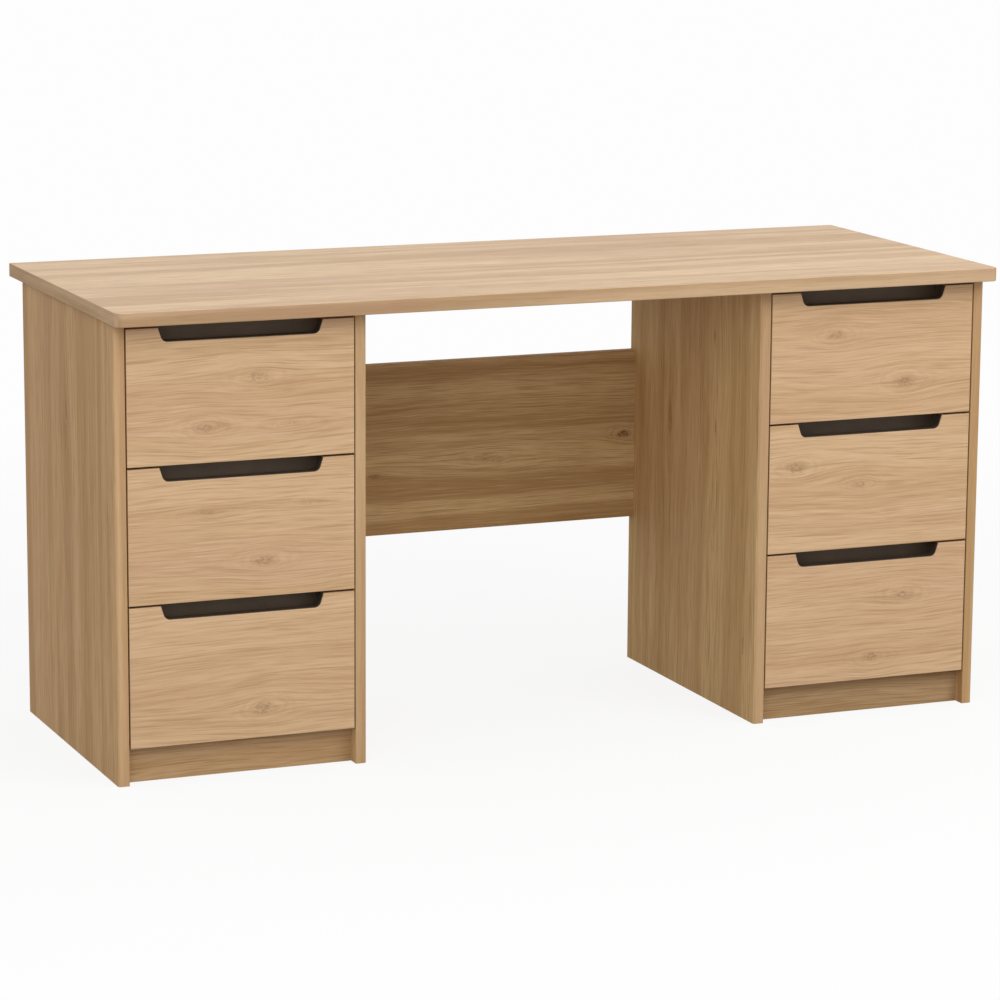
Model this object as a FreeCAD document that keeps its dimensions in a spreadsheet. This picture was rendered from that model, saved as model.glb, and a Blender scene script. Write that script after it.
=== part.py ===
"""Twin-pedestal desk: a board top on two chests of three drawers, with a modesty panel between them.

Millimetres, +Z up, front towards -Y. The origin is on the floor, under the middle of the desktop.
A pedestal's own frame has its origin on the floor, under the middle of its drawer fronts' outer
faces, with Y running back into the pedestal. A drawer's own frame is that one, lifted to the lower
edge of its front.
"""
import FreeCAD, Part
import os
import Sketcher

# Driving dimensions, in millimetres
SIZES = {
    # Desktop
    "desk_width": 1500.0,
    "desk_depth": 600.0,
    "desk_height": 740.0,
    "top_thickness": 22.0,
    "top_corner_radius": 12.0,
    "top_edge_round": 1.5,
    "side_overhang": 6.0,
    "front_overhang": 38.0,
    "back_overhang": 57.0,
    # Pedestal boards
    "pedestal_width": 406.0,
    "panel_thickness": 18.0,
    "panel_outer_round": 5.0,
    "panel_inner_round": 1.0,
    "plinth_height": 59.0,
    "plinth_thickness": 15.0,
    "plinth_recess": 22.0,
    "base_thickness": 15.0,
    "back_thickness": 3.0,
    "back_inset": 14.0,
    "back_groove_depth": 6.0,
    "back_lift": 4.0,
    "groove_clearance": 0.15,
    "groove_end_clearance": 0.5,
    # Rails under the desktop
    "rail_width": 80.0,
    "rail_thickness": 15.0,
    "rail_setback": 62.0,
    "rail_back_gap": 20.0,
    # Modesty panel
    "modesty_bottom": 256.0,
    "modesty_height": 293.0,
    "modesty_thickness": 18.0,
    "modesty_edge_round": 1.0,
    # Drawer fronts
    "front_thickness": 18.0,
    "front_gap": 3.0,
    "front_side_gap": 2.0,
    "front_drop": 1.0,
    "top_front_gap": 8.5,
    "bottom_front_extra": 9.0,
    "front_edge_round": 1.0,
    # Grip cut-out in the top edge of a front
    "grip_end_margin": 51.0,
    "grip_depth": 22.0,
    "grip_end_slope": 7.0,
    "grip_corner_radius": 11.0,
    # Grip cup behind the cut-out
    "cup_wall": 2.0,
    "cup_depth": 26.0,
    "cup_drop": 20.0,
    "cup_end_margin": 5.0,
    "cup_flange": 9.0,
    "cup_top_gap": 1.5,
    "cup_edge_round": 4.0,
    # Drawer box
    "box_lift": 22.0,
    "box_height": 135.0,
    "box_wall": 12.0,
    "box_edge_round": 1.0,
    "bottom_thickness": 3.0,
    "bottom_lift": 8.0,
    "bottom_groove_depth": 6.0,
    # Folded steel runners
    "runner_space": 12.5,
    "runner_sheet": 1.2,
    "runner_setback": 2.0,
    "runner_back_gap": 18.0,
    "runner_drop": 3.0,
    "channel_flange": 10.2,
    "channel_lip": 9.0,
    "lip_play": 0.7,
    "flange_tip": 3.0,
    "drawer_hold": 110.0,
    "stop_height": 2.5,
    "stop_length": 4.0,
    # Rollers and their studs
    "roller_radius": 8.0,
    "roller_width": 6.0,
    "roller_standoff": 3.4,
    "roller_inset": 14.0,
    "roller_play": 0.3,
    "roller_end_play": 0.2,
    "roller_edge_round": 0.8,
    "stud_radius": 2.0,
    "stud_collar_radius": 3.2,
    "stud_head": 0.6,
    "bore_clearance": 0.05,
    # Dowels
    "dowel_radius": 4.0,
    "dowel_length": 30.0,
    "dowel_in_panel": 12.0,
    "dowel_end_clearance": 0.5,
    "dowel_chamfer": 0.8,
    "base_dowel_inset": 60.0,
    "rail_dowel_inset": 20.0,
    "modesty_dowel_inset": 60.0,
    # Screws
    "hole_clearance": 0.05,
    "top_screw_spread": 110.0,
    "top_screw_radius": 2.0,
    "top_screw_bite": 13.0,
    "top_screw_head_radius": 4.0,
    "top_screw_head": 2.2,
    "runner_screw_radius": 1.75,
    "runner_screw_bite": 12.0,
    "runner_screw_head_radius": 3.2,
    "runner_screw_head": 1.0,
    "runner_screw_inset": 75.0,
}

LEVELS = ("bottom", "middle", "top")
PEDESTALS = {"left": -1, "right": 1}

# Sizes and places worked out from the driving dimensions
WORKED = {
    "carcass_height": "dim.desk_height - dim.top_thickness",
    "inner_width": "dim.pedestal_width - 2 * dim.panel_thickness",
    "half_inner": "calc.inner_width / 2",
    "pedestal_place": "dim.desk_width / 2 - dim.side_overhang - dim.pedestal_width / 2",
    "kneehole_half": "calc.pedestal_place - dim.pedestal_width / 2",
    "front_plane": "dim.front_overhang - dim.desk_depth / 2",
    "pedestal_depth": "dim.desk_depth - dim.front_overhang - dim.back_overhang",
    "back_face": "calc.pedestal_depth - dim.back_inset - dim.back_thickness",
    "back_half_width": "calc.half_inner + dim.back_groove_depth - dim.groove_end_clearance",
    "rail_underside": "calc.carcass_height - dim.rail_thickness",
    "front_rail_start": "dim.rail_setback",
    "rear_rail_start": "calc.back_face - dim.rail_back_gap - dim.rail_width",
    "fronts_bottom": "dim.plinth_height - dim.front_drop",
    "drawers_bottom": "calc.fronts_bottom + dim.bottom_front_extra",
    "drawers_top": "calc.carcass_height - dim.top_front_gap + dim.front_gap",
    "front_pitch": f"(calc.drawers_top - calc.drawers_bottom) / {len(LEVELS)}",
    "front_height": "calc.front_pitch - dim.front_gap",
    "half_front": "calc.half_inner - dim.front_side_gap",
    "half_grip": "calc.half_front - dim.grip_end_margin",
    "half_grip_floor": "calc.half_grip - dim.grip_end_slope",
    "grip_floor": "calc.front_height - dim.grip_depth",
    "half_cup": "calc.half_grip + dim.cup_end_margin",
    "cup_floor": "calc.grip_floor - dim.cup_drop",
    "cup_top": "calc.front_height - dim.cup_top_gap",
    "half_box": "calc.half_inner - dim.runner_space",
    "half_inside": "calc.half_box - dim.box_wall",
    "channel_start": "dim.front_thickness + dim.runner_setback",
    "channel_end": "calc.back_face - dim.runner_back_gap",
    "box_end": "calc.channel_end - dim.runner_setback",
    "box_back_face": "calc.box_end - dim.box_wall",
    "bottom_underside": "dim.box_lift + dim.bottom_lift",
    "channel_floor": "dim.box_lift + dim.runner_drop",
    "channel_ceiling": "calc.channel_floor + 2 * (dim.roller_radius + dim.roller_play)",
    "channel_top": "calc.channel_ceiling + dim.runner_sheet",
    "flange_underside": "calc.channel_top + dim.lip_play",
    "front_roller_y": "calc.channel_start + dim.roller_inset",
    "front_roller_z": "calc.flange_underside - dim.roller_play - dim.roller_radius",
    "end_tab_face": "calc.channel_end - dim.runner_sheet",
    "rear_roller_y": "calc.end_tab_face - dim.roller_play - dim.roller_radius",
    "rear_roller_z": "calc.channel_floor + dim.roller_play + dim.roller_radius",
    "drawer_travel": "calc.channel_end - calc.channel_start - dim.drawer_hold",
    "roller_y_when_out": "calc.rear_roller_y - calc.drawer_travel",
    "height_over_stop": "dim.roller_radius + dim.roller_play - dim.stop_height",
    "stop_reach": "sqrt(dim.roller_radius ^ 2 - calc.height_over_stop ^ 2) + dim.roller_play",
    "stop_start": "calc.roller_y_when_out - calc.stop_reach - dim.stop_length",
    "lip_start": "calc.roller_y_when_out - dim.roller_radius",
    "web_outer": "calc.half_inner - dim.runner_space + dim.runner_sheet",
    "roller_outer": "calc.half_inner - dim.roller_standoff",
    "roller_inner": "calc.roller_outer - dim.roller_width",
    "bore_radius": "dim.stud_radius + dim.bore_clearance",
    "runner_screw_z": "(calc.channel_floor + calc.channel_ceiling) / 2",
    "front_runner_screw_y": "calc.channel_start + dim.runner_screw_inset",
    "rear_runner_screw_y": "calc.channel_end - dim.runner_screw_inset",
    "dowel_hole_radius": "dim.dowel_radius + dim.hole_clearance",
    "panel_hole_depth": "dim.dowel_in_panel + dim.dowel_end_clearance",
    "dowel_in_end": "dim.dowel_length - dim.dowel_in_panel",
    "end_hole_depth": "calc.dowel_in_end + dim.dowel_end_clearance",
}

# Dowel places in a pedestal's own frame, as depth and height
BASE_MIDDLE = "dim.plinth_height + dim.base_thickness / 2"
BASE_DOWELS = [
    ("dim.plinth_recess + dim.base_dowel_inset", BASE_MIDDLE),
    ("calc.back_face - dim.base_dowel_inset", BASE_MIDDLE),
]
PLINTH_DOWELS = [("dim.plinth_recess + dim.plinth_thickness / 2", "dim.plinth_height / 2")]
RAIL_STARTS = {"front": "calc.front_rail_start", "rear": "calc.rear_rail_start"}
RAIL_MIDDLE = "calc.carcass_height - dim.rail_thickness / 2"
RAIL_DOWELS = {
    name: [
        (f"{start} + dim.rail_dowel_inset", RAIL_MIDDLE),
        (f"{start} + dim.rail_width - dim.rail_dowel_inset", RAIL_MIDDLE),
    ]
    for name, start in RAIL_STARTS.items()
}
MODESTY_TOP = "dim.modesty_bottom + dim.modesty_height"
MODESTY_MIDDLE = "calc.pedestal_depth - dim.modesty_thickness / 2"
MODESTY_DOWELS = [
    (MODESTY_MIDDLE, "dim.modesty_bottom + dim.modesty_dowel_inset"),
    (MODESTY_MIDDLE, f"{MODESTY_TOP} - dim.modesty_dowel_inset"),
]
PEDESTAL_DOWELS = BASE_DOWELS + PLINTH_DOWELS + RAIL_DOWELS["front"] + RAIL_DOWELS["rear"]

# Runner screw places on a side panel, as depth and height
RUNNER_SCREWS = [
    (f"calc.{end}_runner_screw_y", f"calc.drawers_bottom + {level} * calc.front_pitch + calc.runner_screw_z")
    for level in range(len(LEVELS))
    for end in ("front", "rear")
]

# Fasteners that hold the desktop, in a pedestal's own frame, as sideways place and depth
TOP_SCREWS = {
    name: [(f"{hand} * dim.top_screw_spread", f"{start} + dim.rail_width / 2") for hand in (-1, 1)]
    for name, start in RAIL_STARTS.items()
}
PEDESTAL_TOP_SCREWS = TOP_SCREWS["front"] + TOP_SCREWS["rear"]

NEAR = 0.01

doc = FreeCAD.newDocument("pedestal_desk")
nodes = []


def fill_sheet(name, cells):
    """Makes a sheet with one named cell to a row."""
    sheet = doc.addObject("Spreadsheet::Sheet", name)
    for row, (alias, text) in enumerate(cells.items(), start=1):
        sheet.set(f"A{row}", alias)
        sheet.set(f"B{row}", text)
        sheet.setAlias(f"B{row}", alias)
    doc.recompute()
    return sheet


fill_sheet("dim", {alias: str(number) for alias, number in SIZES.items()})
calc = fill_sheet("calc", {alias: f"={formula}" for alias, formula in WORKED.items()})


def worth(formula):
    """The number that a formula of sheet cells comes to."""
    return float(calc.evalExpression(formula))


def new_body(label, x="0", y="0", z="0", is_node=True):
    """A body at a place given by formulas. A node is written to a file under its label."""
    body = doc.addObject("PartDesign::Body", label)
    body.Label = label
    for axis, formula in zip("xyz", (x, y, z)):
        body.setExpression(f"Placement.Base.{axis}", formula)
    if is_node:
        nodes.append(body)
    return body


def pedestal_body(label, side, level=None, is_node=True):
    """A body in a pedestal's own frame, or in a drawer's where a level is given."""
    lift = "0" if level is None else f"calc.drawers_bottom + {level} * calc.front_pitch"
    return new_body(label, f"{side} * calc.pedestal_place", "calc.front_plane", lift, is_node)


def origin_part(body, role):
    """One of a body's own origin planes or axes."""
    return next(part for part in body.Origin.OriginFeatures if part.Role == role)


def new_sketch(body, plane, offset="0"):
    """A sketch on an origin plane, moved along the plane's normal (+Z, -Y or +X) by a formula."""
    sketch = body.newObject("Sketcher::SketchObject", f"{body.Name}_sketch")
    sketch.AttachmentSupport = [(origin_part(body, plane), "")]
    sketch.MapMode = "FlatFace"
    sketch.setExpression("AttachmentOffset.Base.z", offset)
    return sketch


def pin_point(sketch, edge, end, place):
    """Ties one point of a sketch to a place given by two formulas."""
    for kind, formula in zip(("DistanceX", "DistanceY"), place):
        index = sketch.addConstraint(Sketcher.Constraint(kind, edge, end, worth(formula)))
        sketch.setExpression(f"Constraints[{index}]", formula)


def draw_outline(sketch, corners):
    """A closed outline of straight lines through corners given by formulas."""
    places = [FreeCAD.Vector(worth(x), worth(y), 0) for x, y in corners]
    count = len(places)
    first = sketch.GeometryCount
    for index, place in enumerate(places):
        sketch.addGeometry(Part.LineSegment(place, places[(index + 1) % count]))
    for index in range(count):
        after = first + (index + 1) % count
        sketch.addConstraint(Sketcher.Constraint("Coincident", first + index, 2, after, 1))
    for index, corner in enumerate(corners):
        pin_point(sketch, first + index, 1, corner)


def draw_rectangle(sketch, left, low, right, high):
    """A rectangle between two corners."""
    draw_outline(sketch, [(left, low), (right, low), (right, high), (left, high)])


def draw_circles(sketch, places, radius):
    """Equal circles at places given by formulas."""
    for x, y in places:
        centre = FreeCAD.Vector(worth(x), worth(y), 0)
        edge = sketch.addGeometry(Part.Circle(centre, FreeCAD.Vector(0, 0, 1), worth(radius)))
        index = sketch.addConstraint(Sketcher.Constraint("Radius", edge, worth(radius)))
        sketch.setExpression(f"Constraints[{index}]", radius)
        pin_point(sketch, edge, 3, (x, y))


def pad(sketch, length, backwards=False):
    """Raises a sketch along its normal, or against it."""
    body = sketch.getParentGeoFeatureGroup()
    feature = body.newObject("PartDesign::Pad", f"{body.Name}_pad")
    feature.Profile = sketch
    feature.Reversed = backwards
    feature.setExpression("Length", length)
    doc.recompute()
    return feature


def pocket(sketch, depth, along=False):
    """Cuts a sketch against its normal, or along it, and makes sure that it cut something."""
    body = sketch.getParentGeoFeatureGroup()
    before = body.Shape.Volume
    feature = body.newObject("PartDesign::Pocket", f"{body.Name}_pocket")
    feature.Profile = sketch
    feature.Reversed = along
    feature.setExpression("Length", depth)
    doc.recompute()
    if body.Shape.Volume > before - NEAR:
        raise RuntimeError(f"{feature.Name} cut nothing")
    return feature


def round_edges(body, radius, chosen, kind="PartDesign::Fillet"):
    """Rounds or chamfers the edges of a body, in its own frame, that a test picks out by their box."""
    base = body.Tip
    edges = [f"Edge{n}" for n, edge in enumerate(base.Shape.Edges, start=1) if chosen(edge.BoundBox)]
    if not edges:
        raise RuntimeError(f"{body.Label} has no such edges")
    feature = body.newObject(kind, f"{body.Name}_round")
    feature.Base = (base, edges)
    feature.setExpression("Size" if kind.endswith("Chamfer") else "Radius", radius)
    doc.recompute()
    return feature


def copies(body, mirrored=False, rows=()):
    """Repeats a whole body: its mirror image across the pedestal, then rows of (axis, count, step)."""
    steps = body.newObject("PartDesign::MultiTransform", f"{body.Name}_copies")
    steps.Originals = [body.Tip]
    steps.TransformMode = "Whole shape"
    parts = []
    if mirrored:
        mirror = body.newObject("PartDesign::Mirrored", f"{body.Name}_mirror")
        mirror.MirrorPlane = (origin_part(body, "YZ_Plane"), [""])
        parts.append(mirror)
    for axis, count, step in rows:
        row = body.newObject("PartDesign::LinearPattern", f"{body.Name}_row")
        row.Direction = (origin_part(body, axis), [""])
        row.Mode = "Spacing"
        row.Occurrences = count
        row.setExpression("Offset", step)
        parts.append(row)
    steps.Transformations = parts
    body.Tip = steps
    doc.recompute()


def near(one, other):
    """Whether two lengths agree."""
    return abs(one - other) < NEAR


def dowel_end_holes(body, places, half_length):
    """Dowel holes in both ends of a board that lies across the desk."""
    for end in (-1, 1):
        sketch = new_sketch(body, "YZ_Plane", f"{end} * {half_length}")
        draw_circles(sketch, places, "calc.dowel_hole_radius")
        pocket(sketch, "calc.end_hole_depth", along=end < 0)


def build_desktop():
    """The board top, with rounded front corners, eased edges and blind screw holes underneath."""
    body = new_body("desktop", z="calc.carcass_height")
    outline = new_sketch(body, "XY_Plane")
    half_width, half_depth = "dim.desk_width / 2", "dim.desk_depth / 2"
    draw_rectangle(outline, f"-{half_width}", f"-{half_depth}", half_width, half_depth)
    pad(outline, "dim.top_thickness")
    front, thick = -worth(half_depth), worth("dim.top_thickness")
    round_edges(
        body,
        "dim.top_corner_radius",
        lambda box: near(box.YMax, front) and near(box.ZLength, thick),
    )
    round_edges(body, "dim.top_edge_round", lambda box: box.ZLength < NEAR)
    holes = new_sketch(body, "XY_Plane")
    places = [
        (f"{side} * calc.pedestal_place + {x}", f"calc.front_plane + {y}")
        for side in PEDESTALS.values()
        for x, y in PEDESTAL_TOP_SCREWS
    ]
    draw_circles(holes, places, "dim.top_screw_radius + dim.hole_clearance")
    pocket(holes, "dim.top_screw_bite + dim.dowel_end_clearance", along=True)


def build_side_panel(label, side, hand):
    """A side panel, to the left (-1) or right (1) of its drawers, with its groove and its holes."""
    body = pedestal_body(label, side)
    inner_face = f"{hand} * calc.half_inner"
    outer_face = f"{hand} * (calc.half_inner + dim.panel_thickness)"
    outline = new_sketch(body, "YZ_Plane", inner_face)
    draw_rectangle(outline, "0", "0", "calc.pedestal_depth", "calc.carcass_height")
    pad(outline, "dim.panel_thickness", backwards=hand < 0)
    tall = worth("calc.carcass_height")
    for face, radius in ((outer_face, "dim.panel_outer_round"), (inner_face, "dim.panel_inner_round")):
        x = worth(face)
        round_edges(
            body,
            radius,
            lambda box: near(box.ZLength, tall) and near(box.YMin, 0) and near(box.Center.x, x),
        )
    groove = new_sketch(body, "YZ_Plane", inner_face)
    draw_rectangle(
        groove,
        "calc.back_face - dim.groove_clearance",
        "0",
        "calc.back_face + dim.back_thickness + dim.groove_clearance",
        "calc.carcass_height",
    )
    pocket(groove, "dim.back_groove_depth", along=hand > 0)
    dowels = new_sketch(body, "YZ_Plane", inner_face)
    draw_circles(dowels, PEDESTAL_DOWELS, "calc.dowel_hole_radius")
    pocket(dowels, "calc.panel_hole_depth", along=hand > 0)
    pilots = new_sketch(body, "YZ_Plane", inner_face)
    draw_circles(pilots, RUNNER_SCREWS, "dim.runner_screw_radius + dim.hole_clearance")
    pocket(pilots, "dim.runner_screw_bite + dim.dowel_end_clearance", along=hand > 0)
    faces_kneehole = side * hand < 0
    if faces_kneehole:
        modesty = new_sketch(body, "YZ_Plane", outer_face)
        draw_circles(modesty, MODESTY_DOWELS, "calc.dowel_hole_radius")
        pocket(modesty, "calc.panel_hole_depth", along=hand < 0)


def build_back_panel(label, side):
    """The thin back, let into both side panels."""
    body = pedestal_body(label, side)
    outline = new_sketch(body, "XZ_Plane", "-calc.back_face")
    half_width = "calc.back_half_width"
    draw_rectangle(outline, f"-{half_width}", "dim.back_lift", half_width, "calc.carcass_height")
    pad(outline, "dim.back_thickness", backwards=True)


def build_base_panel(label, side):
    """The floor of a pedestal, on top of its plinth."""
    body = pedestal_body(label, side)
    outline = new_sketch(body, "XY_Plane", "dim.plinth_height")
    draw_rectangle(outline, "-calc.half_inner", "dim.plinth_recess", "calc.half_inner", "calc.back_face")
    pad(outline, "dim.base_thickness")
    dowel_end_holes(body, BASE_DOWELS, "calc.half_inner")


def build_plinth(label, side):
    """The board under the lowest drawer front, set back from it."""
    body = pedestal_body(label, side)
    outline = new_sketch(body, "XZ_Plane", "-dim.plinth_recess")
    draw_rectangle(outline, "-calc.half_inner", "0", "calc.half_inner", "dim.plinth_height")
    pad(outline, "dim.plinth_thickness", backwards=True)
    dowel_end_holes(body, PLINTH_DOWELS, "calc.half_inner")


def build_top_rails():
    """Four boards that tie the side panels together under the desktop, as one group."""
    rails = []
    for word, side in PEDESTALS.items():
        for name, start in RAIL_STARTS.items():
            body = pedestal_body(f"{word}_{name}_rail", side, is_node=False)
            outline = new_sketch(body, "XY_Plane", "calc.rail_underside")
            end = f"{start} + dim.rail_width"
            draw_rectangle(outline, "-calc.half_inner", start, "calc.half_inner", end)
            pad(outline, "dim.rail_thickness")
            dowel_end_holes(body, RAIL_DOWELS[name], "calc.half_inner")
            holes = new_sketch(body, "XY_Plane", "calc.rail_underside")
            draw_circles(holes, TOP_SCREWS[name], "dim.top_screw_radius + dim.hole_clearance")
            pocket(holes, "dim.rail_thickness", along=True)
            rails.append(body)
    make_group("top_rails", rails)


def make_group(label, members):
    """A node that holds several bodies."""
    group = doc.addObject("Part::Compound", label)
    group.Label = label
    group.Links = members
    nodes.append(group)
    doc.recompute()


def build_modesty_panel():
    """The board that closes the back of the kneehole, flush with the backs of the pedestals."""
    body = new_body("modesty_panel", y="calc.front_plane")
    outline = new_sketch(body, "XZ_Plane", "dim.modesty_thickness - calc.pedestal_depth")
    half_width = "calc.kneehole_half"
    draw_rectangle(outline, f"-{half_width}", "dim.modesty_bottom", half_width, MODESTY_TOP)
    pad(outline, "dim.modesty_thickness", backwards=True)
    wide = worth("2 * calc.kneehole_half")
    round_edges(body, "dim.modesty_edge_round", lambda box: near(box.XLength, wide))
    dowel_end_holes(body, MODESTY_DOWELS, "calc.kneehole_half")


def build_dowels():
    """Every dowel of the carcass, as one group of separate solids."""
    inside = pedestal_body("pedestal_dowels", PEDESTALS["left"], is_node=False)
    sketch = new_sketch(inside, "YZ_Plane", "calc.half_inner - calc.dowel_in_end")
    draw_circles(sketch, PEDESTAL_DOWELS, "dim.dowel_radius")
    pad(sketch, "dim.dowel_length")
    round_edges(inside, "dim.dowel_chamfer", lambda box: box.XLength < NEAR, "PartDesign::Chamfer")
    copies(inside, mirrored=True, rows=[("X_Axis", len(PEDESTALS), "2 * calc.pedestal_place")])
    between = new_body("modesty_dowels", y="calc.front_plane", is_node=False)
    sketch = new_sketch(between, "YZ_Plane", "calc.kneehole_half - calc.dowel_in_end")
    draw_circles(sketch, MODESTY_DOWELS, "dim.dowel_radius")
    pad(sketch, "dim.dowel_length")
    round_edges(between, "dim.dowel_chamfer", lambda box: box.XLength < NEAR, "PartDesign::Chamfer")
    copies(between, mirrored=True)
    make_group("carcass_dowels", [inside, between])


def build_top_screws():
    """The screws that hold the desktop down to the rails."""
    body = pedestal_body("top_fixing_screws", PEDESTALS["left"])
    heads = new_sketch(body, "XY_Plane", "calc.rail_underside")
    draw_circles(heads, PEDESTAL_TOP_SCREWS, "dim.top_screw_head_radius")
    pad(heads, "dim.top_screw_head", backwards=True)
    low = worth("calc.rail_underside - dim.top_screw_head")
    round_edges(body, "dim.top_screw_head / 2", lambda box: near(box.ZMax, low))
    shanks = new_sketch(body, "XY_Plane", "calc.rail_underside")
    draw_circles(shanks, PEDESTAL_TOP_SCREWS, "dim.top_screw_radius")
    pad(shanks, "dim.rail_thickness + dim.top_screw_bite")
    copies(body, rows=[("X_Axis", len(PEDESTALS), "2 * calc.pedestal_place")])


def build_runner_screws():
    """The screws that hold the cabinet runners to the side panels."""
    body = pedestal_body("runner_screws", PEDESTALS["left"])
    under_head = "calc.half_inner - dim.runner_sheet"
    heads = new_sketch(body, "YZ_Plane", under_head)
    draw_circles(heads, RUNNER_SCREWS, "dim.runner_screw_head_radius")
    pad(heads, "dim.runner_screw_head", backwards=True)
    crown = worth(f"{under_head} - dim.runner_screw_head")
    round_edges(body, "dim.runner_screw_head / 2", lambda box: near(box.XMax, crown))
    shanks = new_sketch(body, "YZ_Plane", under_head)
    draw_circles(shanks, RUNNER_SCREWS, "dim.runner_screw_radius")
    pad(shanks, "dim.runner_sheet + dim.runner_screw_bite")
    copies(body, mirrored=True, rows=[("X_Axis", len(PEDESTALS), "2 * calc.pedestal_place")])


def add_roller_stud(body, place, root, away, collar, reach):
    """A riveted stud that stands away from a runner's web: collar, shank and head."""
    backwards = away < 0
    for start, radius, length in (
        (root, "dim.stud_collar_radius", collar),
        (root, "dim.stud_radius", reach),
        (f"{root} + {away} * ({reach})", "dim.stud_collar_radius", "dim.stud_head"),
    ):
        sketch = new_sketch(body, "YZ_Plane", start)
        draw_circles(sketch, [place], radius)
        pad(sketch, length, backwards)


def build_cabinet_runners(label, side):
    """The fixed channels: web on the side panel, floor under the rear rollers, lip over them, stops."""
    body = pedestal_body(label, side, level=0)
    profile = new_sketch(body, "XZ_Plane", "-calc.channel_start")
    face, web = "calc.half_inner", "calc.half_inner - dim.runner_sheet"
    floor_edge, lip_edge = "calc.half_inner - dim.channel_flange", "calc.half_inner - dim.channel_lip"
    under = "calc.channel_floor - dim.runner_sheet"
    draw_outline(
        profile,
        [
            (face, under),
            (floor_edge, under),
            (floor_edge, "calc.channel_floor"),
            (web, "calc.channel_floor"),
            (web, "calc.channel_ceiling"),
            (lip_edge, "calc.channel_ceiling"),
            (lip_edge, "calc.channel_top"),
            (face, "calc.channel_top"),
        ],
    )
    pad(profile, "calc.channel_end - calc.channel_start", backwards=True)
    opening = new_sketch(body, "XY_Plane", "calc.channel_top")
    draw_rectangle(opening, lip_edge, "calc.channel_start", web, "calc.lip_start")
    pocket(opening, "dim.runner_sheet")
    end_tab = new_sketch(body, "XZ_Plane", "-calc.end_tab_face")
    draw_rectangle(end_tab, floor_edge, "calc.channel_floor", web, "calc.channel_ceiling")
    pad(end_tab, "dim.runner_sheet", backwards=True)
    stop = new_sketch(body, "XZ_Plane", "-calc.stop_start")
    stop_top = "calc.channel_floor + dim.stop_height"
    draw_rectangle(stop, floor_edge, "calc.channel_floor", web, stop_top)
    pad(stop, "dim.stop_length", backwards=True)
    holes = new_sketch(body, "YZ_Plane", face)
    places = [(f"calc.{end}_runner_screw_y", "calc.runner_screw_z") for end in ("front", "rear")]
    draw_circles(holes, places, "dim.runner_screw_radius + dim.hole_clearance")
    pocket(holes, "dim.runner_sheet")
    add_roller_stud(
        body,
        ("calc.front_roller_y", "calc.front_roller_z"),
        root=web,
        away=-1,
        collar="dim.roller_standoff - dim.runner_sheet - dim.roller_end_play",
        reach="dim.roller_standoff - dim.runner_sheet + dim.roller_width + dim.roller_end_play",
    )
    copies(body, mirrored=True, rows=[("Z_Axis", len(LEVELS), "calc.front_pitch")])


def build_drawer_front(label, side, level):
    """A front with the grip cut-out in its top edge and a groove behind for the drawer bottom.

    The lowest front reaches further down than the others.
    """
    body = pedestal_body(label, side, level)
    lower_edge = "0" if level else "-dim.bottom_front_extra"
    outline = new_sketch(body, "XZ_Plane")
    draw_outline(
        outline,
        [
            ("-calc.half_front", lower_edge),
            ("calc.half_front", lower_edge),
            ("calc.half_front", "calc.front_height"),
            ("calc.half_grip", "calc.front_height"),
            ("calc.half_grip_floor", "calc.grip_floor"),
            ("-calc.half_grip_floor", "calc.grip_floor"),
            ("-calc.half_grip", "calc.front_height"),
            ("-calc.half_front", "calc.front_height"),
        ],
    )
    pad(outline, "dim.front_thickness", backwards=True)
    thick, floor = worth("dim.front_thickness"), worth("calc.grip_floor")
    round_edges(
        body,
        "dim.grip_corner_radius",
        lambda box: near(box.YLength, thick) and near(box.ZMax, floor),
    )
    round_edges(body, "dim.front_edge_round", lambda box: near(box.YMax, 0))
    groove = new_sketch(body, "XZ_Plane", "-dim.front_thickness")
    reach = "calc.half_inside + dim.bottom_groove_depth"
    draw_rectangle(
        groove,
        f"-({reach})",
        "calc.bottom_underside - dim.groove_clearance",
        reach,
        "calc.bottom_underside + dim.bottom_thickness + dim.groove_clearance",
    )
    pocket(groove, "dim.bottom_groove_depth", along=True)


def build_grip_cup(label, side, level):
    """The moulded cup behind a cut-out: a trough, open in front and on top, with a fixing flange."""
    body = pedestal_body(label, side, level)
    shell, hollow = "calc.half_cup + dim.cup_wall", "calc.half_cup"
    block = new_sketch(body, "XZ_Plane", "-dim.front_thickness")
    draw_rectangle(block, f"-({shell})", "calc.cup_floor - dim.cup_wall", shell, "calc.cup_top")
    pad(block, "dim.cup_depth + dim.cup_wall", backwards=True)
    rear = worth("dim.front_thickness + dim.cup_depth + dim.cup_wall")
    under = worth("calc.cup_floor - dim.cup_wall")
    round_edges(body, "dim.cup_edge_round", lambda box: near(box.YMin, rear) and near(box.ZMax, under))
    inside = new_sketch(body, "XZ_Plane", "-dim.front_thickness")
    draw_rectangle(inside, f"-{hollow}", "calc.cup_floor", hollow, "calc.cup_top")
    pocket(inside, "dim.cup_depth")
    flange = new_sketch(body, "XZ_Plane", "-dim.front_thickness")
    outer, low = f"{shell} + dim.cup_flange", "calc.cup_floor - dim.cup_wall - dim.cup_flange"
    draw_outline(
        flange,
        [
            (f"-({outer})", low),
            (outer, low),
            (outer, "calc.cup_top"),
            (hollow, "calc.cup_top"),
            (hollow, "calc.cup_floor"),
            (f"-{hollow}", "calc.cup_floor"),
            (f"-{hollow}", "calc.cup_top"),
            (f"-({outer})", "calc.cup_top"),
        ],
    )
    pad(flange, "dim.cup_wall", backwards=True)


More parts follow.
